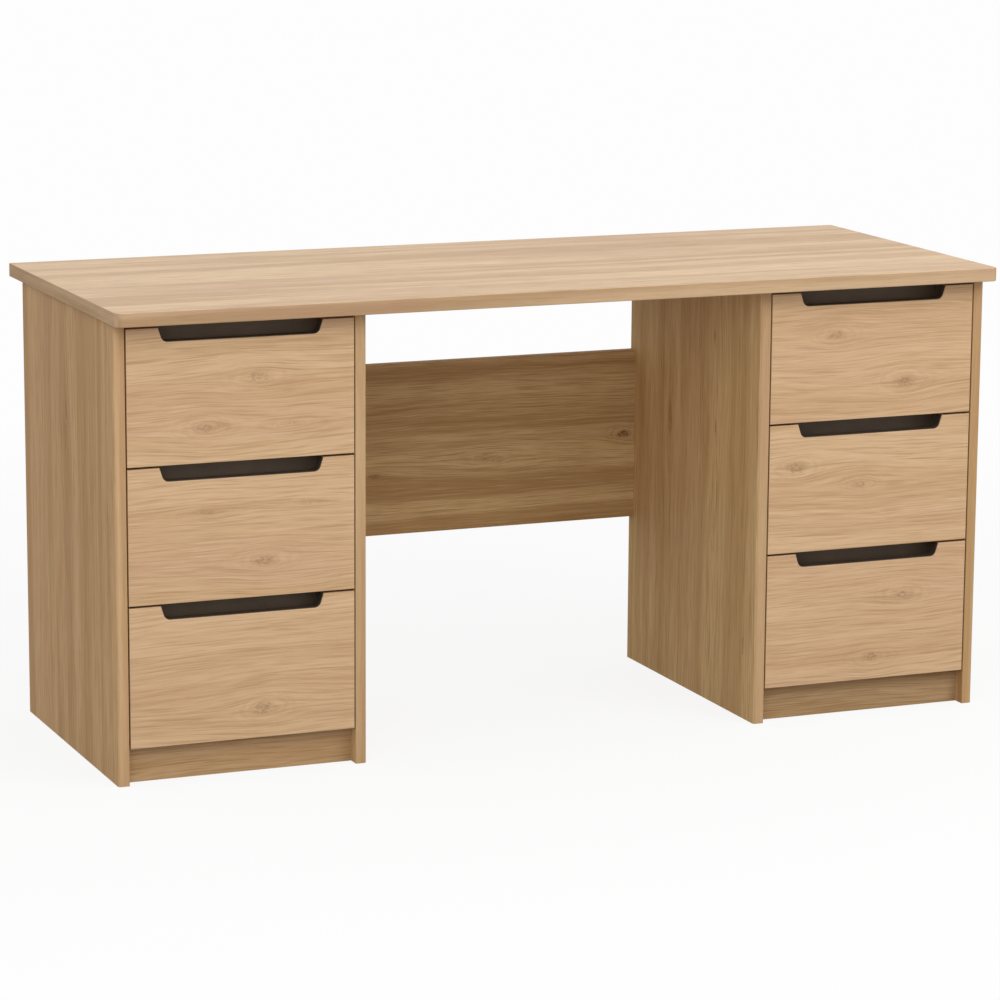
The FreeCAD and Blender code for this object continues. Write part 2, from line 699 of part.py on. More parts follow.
def build_drawer_box(label, side, level):
    """Two sides and a back folded from one wrapped board, grooved all round for the bottom."""
    body = pedestal_body(label, side, level)
    outline = new_sketch(body, "XY_Plane", "dim.box_lift")
    draw_outline(
        outline,
        [
            ("-calc.half_box", "dim.front_thickness"),
            ("-calc.half_inside", "dim.front_thickness"),
            ("-calc.half_inside", "calc.box_back_face"),
            ("calc.half_inside", "calc.box_back_face"),
            ("calc.half_inside", "dim.front_thickness"),
            ("calc.half_box", "dim.front_thickness"),
            ("calc.half_box", "calc.box_end"),
            ("-calc.half_box", "calc.box_end"),
        ],
    )
    pad(outline, "dim.box_height")
    rim, start = worth("dim.box_lift + dim.box_height"), worth("dim.front_thickness")
    round_edges(body, "dim.box_edge_round", lambda box: near(box.ZMin, rim) and box.YMax > start + NEAR)
    groove = new_sketch(body, "XY_Plane", "calc.bottom_underside - dim.groove_clearance")
    reach = "calc.half_inside + dim.bottom_groove_depth"
    end = "calc.box_back_face + dim.bottom_groove_depth"
    draw_rectangle(groove, f"-({reach})", "dim.front_thickness", reach, end)
    pocket(groove, "dim.bottom_thickness + 2 * dim.groove_clearance", along=True)


def build_drawer_bottom(label, side, level):
    """The thin bottom, held in the grooves of the box and the front."""
    body = pedestal_body(label, side, level)
    outline = new_sketch(body, "XY_Plane", "calc.bottom_underside")
    half = "calc.half_inside + dim.bottom_groove_depth - dim.groove_end_clearance"
    draw_rectangle(
        outline,
        f"-({half})",
        "dim.front_thickness - dim.bottom_groove_depth + dim.groove_end_clearance",
        half,
        "calc.box_back_face + dim.bottom_groove_depth - dim.groove_end_clearance",
    )
    pad(outline, "dim.bottom_thickness")


def build_drawer_runners(label, side, level):
    """The pair under the box: flange under its side, web beside it, flange over the front roller."""
    body = pedestal_body(label, side, level)
    profile = new_sketch(body, "XZ_Plane", "-dim.front_thickness")
    tip, under = "calc.half_inner - dim.flange_tip", "dim.box_lift - dim.runner_sheet"
    draw_outline(
        profile,
        [
            (tip, "calc.flange_underside"),
            ("calc.web_outer", "calc.flange_underside"),
            ("calc.web_outer", under),
            ("calc.half_inside", under),
            ("calc.half_inside", "dim.box_lift"),
            ("calc.half_box", "dim.box_lift"),
            ("calc.half_box", "calc.flange_underside + dim.runner_sheet"),
            (tip, "calc.flange_underside + dim.runner_sheet"),
        ],
    )
    pad(profile, "calc.box_end - dim.front_thickness", backwards=True)
    add_roller_stud(
        body,
        ("calc.rear_roller_y", "calc.rear_roller_z"),
        root="calc.web_outer",
        away=1,
        collar="calc.roller_inner - calc.web_outer - dim.roller_end_play",
        reach="calc.roller_outer - calc.web_outer + dim.roller_end_play",
    )
    copies(body, mirrored=True)


def build_rollers(label, side, level, end):
    """The pair of rollers on the front (cabinet) or rear (drawer) studs of a drawer's runners."""
    body = pedestal_body(label, side, level)
    place = (f"calc.{end}_roller_y", f"calc.{end}_roller_z")
    ring = new_sketch(body, "YZ_Plane", "calc.roller_inner")
    draw_circles(ring, [place], "dim.roller_radius")
    draw_circles(ring, [place], "calc.bore_radius")
    pad(ring, "dim.roller_width")
    across = worth("2 * dim.roller_radius")
    round_edges(
        body,
        "dim.roller_edge_round",
        lambda box: box.XLength < NEAR and near(box.YLength, across),
    )
    copies(body, mirrored=True)


def build_drawer(name, side, level):
    """Every piece that belongs to one drawer."""
    build_drawer_front(f"{name}_drawer_front", side, level)
    build_grip_cup(f"{name}_grip_cup", side, level)
    build_drawer_box(f"{name}_drawer_box", side, level)
    build_drawer_bottom(f"{name}_drawer_bottom", side, level)
    build_drawer_runners(f"{name}_drawer_runners", side, level)
    for end in ("front", "rear"):
        build_rollers(f"{name}_{end}_rollers", side, level, end)


def build_pedestal(word, side):
    """The boards, runners and drawers of one pedestal."""
    for place, hand in (("outer", side), ("inner", -side)):
        build_side_panel(f"{word}_{place}_side", side, hand)
    build_back_panel(f"{word}_back_panel", side)
    build_base_panel(f"{word}_base_panel", side)
    build_plinth(f"{word}_plinth", side)
    build_cabinet_runners(f"{word}_cabinet_runners", side)
    for level, height in enumerate(LEVELS):
        build_drawer(f"{word}_{height}", side, level)


def check_model():
    """Stops the build if any object failed or any node has no sound shape."""
    doc.recompute()
    failed = [item.Label for item in doc.Objects if {"Invalid", "Error"} & set(item.State)]
    unsound = [node.Label for node in nodes if node.Shape.isNull() or not node.Shape.isValid()]
    if failed or unsound:
        raise RuntimeError(f"failed objects {failed}, unsound shapes {unsound}")


def write_nodes():
    """Writes each node to a file of its own."""
    os.makedirs("parts", exist_ok=True)
    for node in nodes:
        node.Shape.exportStep(f"parts/{node.Label}.step")
        print(f"{node.Label}: {len(node.Shape.Solids)} solids, {node.Shape.Volume / 1000:.1f} cm3")


build_desktop()
for pedestal, sign in PEDESTALS.items():
    build_pedestal(pedestal, sign)
build_top_rails()
build_modesty_panel()
build_dowels()
build_top_screws()
build_runner_screws()
check_model()
write_nodes()
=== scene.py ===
"""Looks of a twin-pedestal desk in light oak melamine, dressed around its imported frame.

Metres, +Z up, front towards -Y, origin on the floor under the middle of the desktop. Sizes of
small things and of patterns are written in millimetres, as a maker would note them.
"""
import logging
import math
from dataclasses import dataclass, replace
from enum import Enum

import bmesh
import bpy
import numpy as np
from mathutils import Matrix, Vector


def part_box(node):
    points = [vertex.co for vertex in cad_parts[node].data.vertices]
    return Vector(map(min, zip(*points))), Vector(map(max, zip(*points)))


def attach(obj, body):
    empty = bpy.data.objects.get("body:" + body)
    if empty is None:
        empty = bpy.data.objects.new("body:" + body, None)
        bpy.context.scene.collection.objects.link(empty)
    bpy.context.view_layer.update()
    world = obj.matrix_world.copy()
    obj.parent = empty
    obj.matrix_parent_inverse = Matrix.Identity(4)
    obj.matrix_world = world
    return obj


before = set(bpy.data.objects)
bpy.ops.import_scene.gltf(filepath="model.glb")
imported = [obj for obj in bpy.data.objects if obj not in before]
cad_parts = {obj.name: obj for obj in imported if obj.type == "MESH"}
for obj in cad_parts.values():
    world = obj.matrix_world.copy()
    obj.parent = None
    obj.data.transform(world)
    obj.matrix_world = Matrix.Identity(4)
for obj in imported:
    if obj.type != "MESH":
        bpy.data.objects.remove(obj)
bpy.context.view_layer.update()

LOG = logging.getLogger("pedestal_desk")
MM = 0.001

Tree = bpy.types.NodeTree
Socket = bpy.types.NodeSocket
Feed = Socket | float | tuple[float, ...]
Feeds = dict[int | str, Feed]
Span = tuple[float, float]
Triple = tuple[float, float, float]

# Inputs of a mix, by number because its kinds share their names: the share, two numbers, two colours
SHARE, NUMBER_UNDER, NUMBER_OVER, COLOUR_UNDER, COLOUR_OVER = 0, 2, 3, 6, 7
# The output of a mix of colours
MIXED_COLOUR = 2


def linear(code: str) -> tuple[float, float, float, float]:
    """Turns an sRGB hex colour into linear light.

    Args:
        code: six hex digits, with or without a leading hash.

    Returns:
        Red, green, blue and an alpha of one.
    """
    text = code.lstrip("#")
    shares = [int(text[i : i + 2], 16) / 255.0 for i in (0, 2, 4)]
    light = [s / 12.92 if s <= 0.04045 else ((s + 0.055) / 1.055) ** 2.4 for s in shares]
    return (light[0], light[1], light[2], 1.0)


def add_node(
    tree: Tree, kind: str, feeds: Feeds | None = None, out: int | str = 0, **settings: object
) -> Socket:
    """Adds one shader node with its settings and links.

    Args:
        tree: the node tree to add to.
        kind: the node's type, without its ShaderNode prefix.
        feeds: for each input, the socket to link or the value to set.
        out: the output to hand back.
        settings: properties of the node.

    Returns:
        The chosen output.
    """
    node = tree.nodes.new(f"ShaderNode{kind}")
    for name, value in settings.items():
        setattr(node, name, value)
    for key, value in (feeds or {}).items():
        if isinstance(value, bpy.types.NodeSocket):
            tree.links.new(value, node.inputs[key])
        else:
            node.inputs[key].default_value = value
    return node.outputs[out]


def stretch(value: Feed, start: Span, end: tuple[Feed, Feed] = (0.0, 1.0)) -> Feeds:
    """Names what a node needs to map one span of a value to another.

    Args:
        value: what to map.
        start: the span that is read.
        end: the span that it becomes.

    Returns:
        The value to feed to each of the node's inputs.
    """
    return {"Value": value, "From Min": start[0], "From Max": start[1], "To Min": end[0], "To Max": end[1]}


class Side(Enum):
    """A pedestal, with its word in the nodes' names."""

    LEFT = "left"
    RIGHT = "right"


class Level(Enum):
    """A drawer's place in its pedestal, counted from the floor."""

    BOTTOM = 0
    MIDDLE = 1
    TOP = 2

    @property
    def word(self) -> str:
        """The level's name in the nodes."""
        return self.name.lower()


class Lay(Enum):
    """How a board lies: the axes along its grain, across it, and through the board."""

    SHELF = ("X", "Y", "Z")
    FRONT = ("X", "Z", "Y")
    SIDE = ("Z", "Y", "X")
    BACK = ("Z", "X", "Y")


@dataclass(frozen=True)
class Layer:
    """A cloudy pattern, and how it shows where it is printed as an ink.

    Attributes:
        size: the pattern's size along each axis, in millimetres, with the grain's axis first on a board.
        detail: how many finer copies lie on the first.
        rough: how strong each finer copy is.
        span: the values of the pattern at which the ink starts and at which it is full.
        ink: how much of the ink shows where it is full.
    """

    size: Triple
    detail: float = 2.0
    rough: float = 0.5
    span: Span = (0.0, 1.0)
    ink: float = 1.0


@dataclass(frozen=True)
class Finish:
    """What every finish has: the name of its material."""

    name: str

    def material(self) -> bpy.types.Material:
        """Makes the finish's material at its first use, and finds it again later.

        Returns:
            The material.
        """
        found = bpy.data.materials.get(self.name)
        if found is not None:
            return found
        made = bpy.data.materials.new(self.name)
        made.use_nodes = True
        self.dress(made.node_tree, made.node_tree.nodes["Principled BSDF"])
        return made

    def dress(self, tree: Tree, shader: bpy.types.Node) -> None:
        """Adds the finish's nodes.

        Args:
            tree: the material's node tree.
            shader: its surface shader.
        """
        raise NotImplementedError

    def place_mm(self, tree: Tree) -> Socket:
        """The point on the piece, in millimetres of the desk's own frame."""
        place = add_node(tree, "TexCoord", out="Object")
        return add_node(tree, "VectorMath", {0: place, "Scale": 1.0 / MM}, operation="SCALE")

    def drawn_out(self, tree: Tree, point: Socket, layer: Layer) -> Socket:
        """Reads a layer's pattern, drawn out along the axes.

        Args:
            tree: the material's node tree.
            point: where to read it, in millimetres.
            layer: the layer.

        Returns:
            A share from 0 to 1, mostly near a half.
        """
        scaled = add_node(tree, "VectorMath", {0: point, 1: layer.size}, operation="DIVIDE")
        feeds = {"Vector": scaled, "Scale": 1.0, "Detail": layer.detail, "Roughness": layer.rough}
        return add_node(tree, "TexNoise", feeds, out="Fac")

    def inked(
        self, tree: Tree, under: Feed, ink: str, pattern: Socket, layer: Layer, calm: Feed = 1.0
    ) -> Socket:
        """Prints an ink over a colour, as strongly as a layer's pattern asks.

        Args:
            tree: the material's node tree.
            under: the colour below.
            ink: the ink's colour.
            pattern: the layer's pattern.
            layer: the layer.
            calm: what the ink's strength is multiplied by.

        Returns:
            The printed colour.
        """
        feeds = stretch(pattern, layer.span, (0.0, layer.ink))
        share = add_node(tree, "MapRange", feeds, interpolation_type="SMOOTHSTEP")
        share = add_node(tree, "Math", {0: share, 1: calm}, operation="MULTIPLY")
        feeds = {SHARE: share, COLOUR_UNDER: under, COLOUR_OVER: linear(ink)}
        return add_node(tree, "Mix", feeds, out=MIXED_COLOUR, data_type="RGBA")


@dataclass(frozen=True)
class Knot:
    """A knot in the print, in millimetres.

    Attributes:
        along: its place along the grain.
        across: its place across the grain.
        size: half its width across the grain.
        dark: how dark its heart is, from 0 to 1.
        reach: how much longer than wide the swirl around it is.
    """

    along: float
    across: float
    size: float
    dark: float
    reach: float = 2.2


@dataclass(frozen=True)
class KnotDrawing:
    """How the print draws every knot, in sizes of the knot where nothing else is said.

    Attributes:
        swirl: half the width of the stone round which the grain seems to flow.
        ease: how softly the flow closes over the knot's middle, in squares of the swirl.
        waver: how far the short waves of the grain carry the knot from side to side.
        crinkle: how far its outline is drawn in unevenly, at most.
        rim: radius of its dark rim, before the crinkle draws it in.
        rim_fade: how far from the rim the dark starts, and how far from it the dark is full.
        cracks: what the cracks multiply the heart's darkness by, from palest to darkest.
        ring_pitch: distance from one ring round the knot to the next.
        ring_fade: how far out the rings start to show, and where they are full.
        ring_dark: how dark the rings are beside the heart.
        ring_line: the heights of the rings' sine at which a line starts and at which it is full.
    """

    swirl: float = 1.7
    ease: float = 1.08
    waver: float = 1.6
    crinkle: float = 1.2
    rim: float = 0.95
    rim_fade: Span = (0.5, 0.05)
    cracks: Span = (0.5, 1.4)
    ring_pitch: float = 0.65
    ring_fade: Span = (4.0, 1.0)
    ring_dark: float = 0.6
    ring_line: Span = (-0.4, 1.0)


KNOT_DRAWING = KnotDrawing()

# The layers of the oak print, from its long bands to its fine lines
BANDS = Layer((1500.0, 38.0, 38.0), detail=3.0, span=(0.38, 0.62))
WARMTH = Layer((700.0, 75.0, 75.0), span=(0.45, 0.7), ink=0.6)
LIGHTS = Layer((120.0, 3.2, 3.2), detail=3.0, rough=0.6, span=(0.48, 0.72), ink=0.42)
STREAKS = Layer((190.0, 3.9, 3.9), detail=4.0, rough=0.6, span=(0.48, 0.76), ink=0.5)
HAIRS = Layer((85.0, 1.8, 1.8), detail=3.0, span=(0.46, 0.72), ink=0.5)
# The real fibres are finer than this, and would not show
FIBRES = Layer((40.0, 1.0, 1.0), span=(0.36, 0.72), ink=0.24)
# The waves of the grain, and how far each carries it across the board, in millimetres
WIDE_WAVE = Layer((820.0, 150.0, 150.0), detail=1.0)
WIDE_SWAY = 44.0
SHORT_WAVE = Layer((150.0, 44.0, 44.0), detail=1.0)
SHORT_SWAY = 7.0
# What makes a knot's outline uneven, and what cracks its heart
CRINKLE = Layer((11.0, 6.5, 6.5), detail=3.0, rough=0.6)
CRACKS = Layer((4.5, 3.0, 3.0), span=(0.42, 0.6))
# Length of the print from one seed to the next, in millimetres
PRINT_LENGTH = 1370.0
# How much of an axis a surface's normal has where the surface starts to face along it, and where it does
FACING = (0.6, 0.8)


@dataclass(frozen=True)
class OakMelamine(Finish):
    """Melamine-faced chipboard with a light oak print, pressed with a satin plate.

    The eye sees pale honey wood with long soft bands, fine brown streaks that bend round small
    knots, and a low sheen that whitens at a glancing angle.

    Attributes:
        lay: how the board lies.
        seed: which stretch of the print the board was cut from.
        knots: the knots on the board.
        edge: colour that the edge band is multiplied by.
        face: colour that the board's faces are multiplied by, as the print differs from batch to batch; on
            the plinths and the kneehole's boards it is painted shade and warm bounce light.
        contrast: strength of the streaks.
        gloss: strength of the mirror share, a half for a flawless surface.
        pale: colour of the print's paler bands.
        middle: colour of its darker bands.
        rosy: colour of its warmer stretches.
        light: colour of its fine pale lines.
        brown: colour of its streaks and of the rings round its knots.
        heart: colour of the knots' hearts.
        band_contrast: strength of the edge band's streaks, beside the face's.
        band_rough: roughness of the edge band.
        satin: roughness of the face, between its streaks and in them.
        satin_span: the values of the streaks' pattern that give these two.
        pores: depth of the pressed pores, in millimetres.
        pore_strength: how much of the pores' depth shows.
        ior: index of refraction of the melamine resin.
    """

    lay: Lay = Lay.FRONT
    seed: float = 0.0
    knots: tuple[Knot, ...] = ()
    edge: str = "#f0eeea"
    face: str = "#ffffff"
    contrast: float = 1.0
    gloss: float = 0.3
    pale: str = "#d8b68f"
    middle: str = "#c9a57c"
    rosy: str = "#cda584"
    light: str = "#e0c09a"
    brown: str = "#a57e55"
    heart: str = "#7d5a3a"
    band_contrast: float = 0.3
    band_rough: float = 0.85
    satin: Span = (0.52, 0.44)
    satin_span: Span = (0.35, 0.65)
    pores: float = 0.06
    pore_strength: float = 0.25
    ior: float = 1.5

    def dress(self, tree: Tree, shader: bpy.types.Node) -> None:
        """Adds the nodes of the print, its sheen and its pressed pores.

        Args:
            tree: the material's node tree.
            shader: its surface shader.
        """
        split = add_node(tree, "SeparateXYZ", {0: self.place_mm(tree)}).node.outputs
        along, across, through = (split[axis] for axis in self.lay.value)
        # the grain of the band on a cut end runs along the band
        end, flat = (self.facing(tree, self.lay.value[i]) for i in (0, 2))
        lengthwise = add_node(tree, "Mix", {SHARE: end, NUMBER_UNDER: along, NUMBER_OVER: across})
        crosswise = add_node(tree, "Mix", {SHARE: end, NUMBER_UNDER: across, NUMBER_OVER: along})
        bent, hearts, rings = self.bend(tree, lengthwise, crosswise, through)
        bands, warmth, lights, streaks, hairs, fibres = (
            self.drawn_out(tree, bent, layer) for layer in (BANDS, WARMTH, LIGHTS, STREAKS, HAIRS, FIBRES)
        )
        colour = self.inked(tree, linear(self.pale), self.middle, bands, BANDS)
        colour = self.inked(tree, colour, self.rosy, warmth, WARMTH)
        # the band's print is calmer than the board's
        feeds = stretch(flat, (0.0, 1.0), (self.band_contrast * self.contrast, self.contrast))
        calm = add_node(tree, "MapRange", feeds, interpolation_type="SMOOTHSTEP")
        for ink, pattern, layer in (
            (self.light, lights, LIGHTS),
            (self.brown, streaks, STREAKS),
            (self.brown, hairs, HAIRS),
            (self.brown, fibres, FIBRES),
        ):
            colour = self.inked(tree, colour, ink, pattern, layer, calm)
        if self.knots:
            for ink, share in ((self.brown, rings), (self.heart, hearts)):
                feeds = {SHARE: share, COLOUR_UNDER: colour, COLOUR_OVER: linear(ink)}
                colour = add_node(tree, "Mix", feeds, out=MIXED_COLOUR, data_type="RGBA")
        feeds = {SHARE: flat, COLOUR_UNDER: linear(self.edge), COLOUR_OVER: linear(self.face)}
        tint = add_node(tree, "Mix", feeds, out=MIXED_COLOUR, data_type="RGBA")
        feeds = {SHARE: 1.0, COLOUR_UNDER: colour, COLOUR_OVER: tint}
        colour = add_node(tree, "Mix", feeds, out=MIXED_COLOUR, data_type="RGBA", blend_type="MULTIPLY")
        tree.links.new(colour, shader.inputs["Base Color"])
        feeds = stretch(streaks, self.satin_span, self.satin)
        satin = add_node(tree, "MapRange", feeds, interpolation_type="SMOOTHSTEP")
        rough = add_node(tree, "Mix", {SHARE: flat, NUMBER_UNDER: self.band_rough, NUMBER_OVER: satin})
        tree.links.new(rough, shader.inputs["Roughness"])
        relief = add_node(tree, "Math", {0: hairs, 1: fibres}, operation="ADD")
        feeds = {"Strength": self.pore_strength, "Distance": self.pores * MM, "Height": relief}
        tree.links.new(add_node(tree, "Bump", feeds), shader.inputs["Normal"])
        shader.inputs["IOR"].default_value = self.ior
        shader.inputs["Specular IOR Level"].default_value = self.gloss

    def facing(self, tree: Tree, axis: str) -> Socket:
        """Tells where the surface faces either way along an axis.

        Args:
            tree: the material's node tree.
            axis: the axis, as X, Y or Z.

        Returns:
            One where it does, else nought.
        """
        way = add_node(tree, "SeparateXYZ", {0: add_node(tree, "TexCoord", out="Normal")}, out=axis)
        either = add_node(tree, "Math", {0: way}, operation="ABSOLUTE")
        return add_node(tree, "MapRange", stretch(either, FACING), interpolation_type="SMOOTHSTEP")

    def bend(self, tree: Tree, along: Socket, across: Socket, through: Socket) -> tuple[Socket, Feed, Feed]:
        """Bends the grain in slow waves, and round each knot.

        Args:
            tree: the material's node tree.
            along: the place along the grain, in millimetres.
            across: the place across the grain.
            through: the place through the board.

        Returns:
            The bent point, the darkness of the knots' hearts, and that of the rings round them.
        """
        shifted = add_node(tree, "Math", {0: along, 1: PRINT_LENGTH * self.seed}, operation="ADD")
        point = add_node(tree, "CombineXYZ", {0: shifted, 1: across, 2: through})
        wide = self.drawn_out(tree, point, WIDE_WAVE)
        short = self.drawn_out(tree, point, SHORT_WAVE)
        bent = add_node(tree, "Math", {0: wide, 1: WIDE_SWAY, 2: across}, operation="MULTIPLY_ADD")
        bent = add_node(tree, "Math", {0: short, 1: SHORT_SWAY, 2: bent}, operation="MULTIPLY_ADD")
        hearts: Feed = 0.0
        rings: Feed = 0.0
        if self.knots:
            crinkle = self.drawn_out(tree, point, CRINKLE)
            feeds = stretch(self.drawn_out(tree, point, CRACKS), CRACKS.span, KNOT_DRAWING.cracks)
            cracks = add_node(tree, "MapRange", feeds, interpolation_type="SMOOTHSTEP")
            for knot in self.knots:
                distance, bent = self.flow_round(tree, knot, along, across, short, bent)
                heart, ring = self.marks(tree, knot, distance, crinkle, cracks)
                hearts = add_node(tree, "Math", {0: hearts, 1: heart}, operation="MAXIMUM")
                rings = add_node(tree, "Math", {0: rings, 1: ring}, operation="MAXIMUM")
        return add_node(tree, "CombineXYZ", {0: shifted, 1: bent, 2: through}), hearts, rings

    def flow_round(
        self, tree: Tree, knot: Knot, along: Socket, across: Socket, short: Socket, bent: Socket
    ) -> tuple[Socket, Socket]:
        """Lets the grain flow round one knot.

        Round a knot whose swirl has a half-width r, a line at a height h over the knot's middle is
        read at h (1 - r^2 / (d^2 + c r^2)), as the stream lines of water round a stone. The distance
        d counts lengths along the grain as shorter, and c is the drawing's ease.

        Args:
            tree: the material's node tree.
            knot: the knot.
            along: the place along the grain, in millimetres.
            across: the place across the grain.
            short: the grain's short waves.
            bent: the place across the grain at which the print is read so far.

        Returns:
            The distance from the knot, and the new place at which the print is read.
        """
        waver = KNOT_DRAWING.waver * knot.size
        swirl_square = (KNOT_DRAWING.swirl * knot.size) ** 2
        far = add_node(tree, "Math", {0: along, 1: knot.along}, operation="SUBTRACT")
        far = add_node(tree, "Math", {0: far, 1: knot.reach}, operation="DIVIDE")
        high = add_node(tree, "Math", {0: across, 1: knot.across}, operation="SUBTRACT")
        high = add_node(tree, "Math", {0: short, 1: waver, 2: high}, operation="MULTIPLY_ADD")
        # the waves' mean is a half
        high = add_node(tree, "Math", {0: high, 1: waver / 2}, operation="SUBTRACT")
        square = add_node(tree, "Math", {0: far, 1: far}, operation="MULTIPLY")
        square = add_node(tree, "Math", {0: high, 1: high, 2: square}, operation="MULTIPLY_ADD")
        eased = add_node(tree, "Math", {0: square, 1: KNOT_DRAWING.ease * swirl_square}, operation="ADD")
        push = add_node(tree, "Math", {0: -swirl_square, 1: eased}, operation="DIVIDE")
        bent = add_node(tree, "Math", {0: high, 1: push, 2: bent}, operation="MULTIPLY_ADD")
        return add_node(tree, "Math", {0: square}, operation="SQRT"), bent

    def marks(
        self, tree: Tree, knot: Knot, distance: Socket, crinkle: Socket, cracks: Socket
    ) -> tuple[Socket, Socket]:
        """Draws one knot's heart and the rings round it.

        The heart is a dark rim with cracks in it, and the rings are the crests of a sine of the
        distance, fading outwards. Both read the distance after the crinkle has made it uneven.

        Args:
            tree: the material's node tree.
            knot: the knot.
            distance: the distance from its middle, in millimetres.
            crinkle: what makes its outline uneven.
            cracks: what the cracks multiply the heart's darkness by.

        Returns:
            The darkness of the heart, and that of the rings.
        """
        drawing = KNOT_DRAWING
        rim_start, rim_full = (knot.size * share for share in drawing.rim_fade)
        ring_start, ring_full = (knot.size * share for share in drawing.ring_fade)
        feeds = {0: crinkle, 1: drawing.crinkle * knot.size, 2: distance}
        uneven = add_node(tree, "Math", feeds, operation="MULTIPLY_ADD")
        rim = add_node(tree, "Math", {0: uneven, 1: drawing.rim * knot.size}, operation="SUBTRACT")
        rim = add_node(tree, "Math", {0: rim}, operation="ABSOLUTE")
        feeds = stretch(rim, (rim_start, rim_full), (0.0, knot.dark))
        heart = add_node(tree, "MapRange", feeds, interpolation_type="SMOOTHSTEP")
        heart = add_node(tree, "Math", {0: heart, 1: cracks}, operation="MULTIPLY")
        per_mm = 2.0 * math.pi / (drawing.ring_pitch * knot.size)
        turns = add_node(tree, "Math", {0: uneven, 1: per_mm}, operation="MULTIPLY")
        wave = add_node(tree, "Math", {0: turns}, operation="SINE")
        line = add_node(tree, "MapRange", stretch(wave, drawing.ring_line), interpolation_type="SMOOTHSTEP")
        feeds = stretch(uneven, (ring_start, ring_full), (0.0, drawing.ring_dark * knot.dark))
        near = add_node(tree, "MapRange", feeds, interpolation_type="SMOOTHSTEP")
        return heart, add_node(tree, "Math", {0: line, 1: near}, operation="MULTIPLY")


@dataclass(frozen=True)
class Mottled(Finish):
    """A plain material with the slight unevenness of its making.

    Attributes:
        base: its colour.
        patch: the colour of its darker patches.
        size: the patches' size along each axis, in millimetres.
        rough: its roughness, at the low and at the high end of the patches' pattern.
        grit: size of its surface texture, in millimetres, drawn coarser where the real one would not show.
        relief: height of that texture, in millimetres.
        strength: how strongly the patches show.
        ior: its index of refraction, which a metal leaves at the shader's own.
        metal: one for bare metal, else nought.
        patch_detail: how many finer patches lie on the first.
        patch_span: the values of the patches' pattern at which their colour starts and is full.
        rough_span: the values of that pattern that give the two roughnesses.
        relief_strength: how much of the texture's height shows.
    """

    base: str
    patch: str
    size: Triple
    rough: Span
    grit: float
    relief: float
    strength: float = 0.5
    ior: float = 1.5
    metal: float = 0.0
    patch_detail: float = 3.0
    patch_span: Span = (0.35, 0.68)
    rough_span: Span = (0.3, 0.7)
    relief_strength: float = 0.5

    def dress(self, tree: Tree, shader: bpy.types.Node) -> None:
        """Adds the nodes of the patches, the sheen and the surface texture.

        Args:
            tree: the material's node tree.
            shader: its surface shader.
        """
        point = self.place_mm(tree)
        layer = Layer(self.size, detail=self.patch_detail, span=self.patch_span, ink=self.strength)
        patches = self.drawn_out(tree, point, layer)
        colour = self.inked(tree, linear(self.base), self.patch, patches, layer)
        tree.links.new(colour, shader.inputs["Base Color"])
        feeds = stretch(patches, self.rough_span, self.rough)
        rough = add_node(tree, "MapRange", feeds, interpolation_type="SMOOTHSTEP")
        tree.links.new(rough, shader.inputs["Roughness"])
        height = self.drawn_out(tree, point, Layer((self.grit, self.grit, self.grit)))
        feeds = {"Strength": self.relief_strength, "Distance": self.relief * MM, "Height": height}
        tree.links.new(add_node(tree, "Bump", feeds), shader.inputs["Normal"])
        shader.inputs["Metallic"].default_value = self.metal
        if not self.metal:
            shader.inputs["IOR"].default_value = self.ior


# Moulded ABS, dark brown, from a spark-eroded tool: dull, with a fine even grain
GRIP_ABS = Mottled(
    "moulded_brown_abs", "#655441", "#594938", (60, 60, 60),
    rough=(0.55, 0.62), grit=0.8, relief=0.03, ior=1.53,
)
# The same ABS round the cut-out, a little smoother and darker than the cup
LIP_ABS = Mottled(
    "moulded_dark_abs", "#3d3227", "#332a20", (60, 60, 60),
    rough=(0.5, 0.58), grit=0.8, relief=0.03, ior=1.53,
)
# Chipboard wrapped in pale vinyl foil: smooth, a little glossier than the melamine
BOX_FOIL = Mottled(
    "pale_foil_wrap", "#ddd6c8", "#d3cbbb", (400, 30, 8),
    rough=(0.42, 0.5), grit=1.5, relief=0.015, strength=0.6,
)
# Hardboard with a pale paper face: flat and matt
PALE_HARDBOARD = Mottled(
    "pale_faced_hardboard", "#d6cfbf", "#cac2b0", (90, 90, 90),
    rough=(0.6, 0.7), grit=2.0, relief=0.03, strength=0.6,
)
# Folded mild steel with an epoxy powder coat, cream: fine orange peel
COATED_STEEL = Mottled(
    "cream_coated_steel", "#e0dccf", "#d6d1c2", (50, 50, 50),
    rough=(0.32, 0.4), grit=1.6, relief=0.02, ior=1.55,
)
# Moulded nylon 6, natural white: waxy and half matt
NYLON = Mottled(
    "white_nylon", "#e6e3da", "#d9d5ca", (8, 8, 8),
    rough=(0.4, 0.5), grit=0.9, relief=0.02, ior=1.53,
)
# Zinc-plated steel, clear passivated: dull silver with faint clouds
ZINC = Mottled(
    "zinc_plated_steel", "#c3c5c6", "#aeb0b0", (3, 3, 3),
    rough=(0.28, 0.4), grit=0.5, relief=0.01, strength=0.6, metal=1.0,
)
# Turned beech, bare: pale pinkish wood with short flecks
BEECH = Mottled(
    "bare_beech", "#d2ab7f", "#b98f63", (14, 1.2, 1.2),
    rough=(0.6, 0.7), grit=0.8, relief=0.03, strength=0.7,
)


def give(node: str, finish: Finish) -> None:
    """Dresses a node of the frame.

    Args:
        node: the node's name.
        finish: what it is made of.
    """
    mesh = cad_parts[node].data
    mesh.materials.clear()
    mesh.materials.append(finish.material())
    LOG.info("dressed %s in %s", node, finish.name)


# Edges that turn more sharply than this stay crisp
CRISP = math.radians(35.0)


